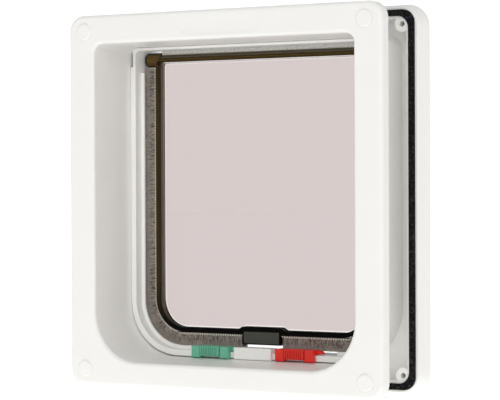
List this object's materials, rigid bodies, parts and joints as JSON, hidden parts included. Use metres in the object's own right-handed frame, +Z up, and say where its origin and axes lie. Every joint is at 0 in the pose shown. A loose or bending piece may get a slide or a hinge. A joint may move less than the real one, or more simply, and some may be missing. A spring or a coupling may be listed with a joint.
{
  "type": "cat flap",
  "caption": "Cat flap for a door: tunnel frames for both faces of the door, a clear swinging flap with brush seals, a magnet catch and two sliding locks.",
  "frame": {"origin": "centre of the four screw bosses, on the plane where the outdoor frame's lip meets the door's outdoor face", "axes": "+X to the right seen from indoors, +Y through the door from indoors to outdoors, +Z up"},
  "size_m": [0.1932, 0.0575, 0.2054],
  "materials": {
    "white_plastic": "white moulded plastic, satin sheen",
    "white_plastic_outer": "white moulded plastic, satin sheen",
    "white_cap": "white moulded plastic, satin sheen",
    "white_cover": "white moulded plastic, satin sheen",
    "black_foam": "closed-cell foam, fine grain",
    "pin_steel": "drawn steel pin",
    "magnet_grey": "dark grey sintered magnet",
    "smoked_clear": "clear brown-tinted moulded plastic",
    "brush_backing": "cream woven backing strip",
    "grey_pile": "dense grey-brown pile",
    "pale_pile": "pale grey pile",
    "green_plastic": "green moulded plastic",
    "red_plastic": "red moulded plastic"
  },
  "bodies": {
    "frame": {"inner_frame": "white_plastic", "outer_frame": "white_plastic_outer", "weather_gasket": "black_foam", "screw_cap_top_left": "white_cap", "screw_cap_top_right": "white_cap", "screw_cap_bottom_left": "white_cap", "screw_cap_bottom_right": "white_cap", "hinge_pin_left": "pin_steel", "hinge_pin_right": "pin_steel", "keeper_cover": "white_cover", "frame_magnet": "magnet_grey"},
    "flap": {"flap_panel": "smoked_clear", "flap_magnet": "magnet_grey", "left_brush_backing": "brush_backing", "left_brush_seal": "grey_pile", "right_brush_backing": "brush_backing", "right_brush_seal": "grey_pile", "top_brush_seal": "pale_pile"},
    "green_lock": {"green_lock_slider": "green_plastic"},
    "red_lock": {"red_lock_slider": "red_plastic"}
  },
  "joints": [
    {"name": "flap_hinge", "type": "hinge", "parent": "frame", "child": "flap", "pos_m": [0, 0.0047, 0.07845], "axis": [1, 0, 0], "range_deg": [-85, 85]},
    {"name": "green_lock_slide", "type": "slide", "parent": "frame", "child": "green_lock", "axis": [1, 0, 0], "range_m": [-0.004, 0.002]},
    {"name": "red_lock_slide", "type": "slide", "parent": "frame", "child": "red_lock", "axis": [1, 0, 0], "range_m": [-0.002, 0.004]}
  ]
}
